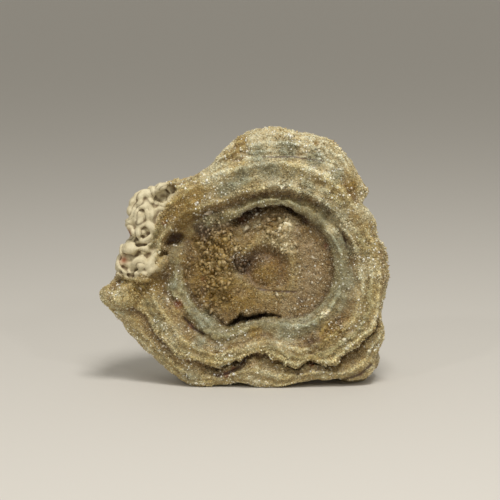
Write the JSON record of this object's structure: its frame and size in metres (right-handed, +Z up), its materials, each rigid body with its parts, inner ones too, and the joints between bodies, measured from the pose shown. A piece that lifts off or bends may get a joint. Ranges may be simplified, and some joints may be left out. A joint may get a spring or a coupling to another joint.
{
  "type": "chalcedony rose",
  "caption": "Natural chalcedony rose standing on its lower edge: terraced growth ridges round an off-centre crystal-lined bowl, with a knobby rind on one side and the back.",
  "frame": {"origin": "on the ground, under the middle of the stone's box", "axes": "+Z up as the stone stands, +X to the viewer's right when facing the ridged face, and the ridged face looks along -Y"},
  "size_m": [0.0806, 0.03, 0.0728],
  "materials": {
    "chalcedony": "fine sparkling crystal crust on banded grey and tan stone"
  },
  "bodies": {
    "root": {"chalcedony_rose": "chalcedony"}
  },
  "joints": []
}
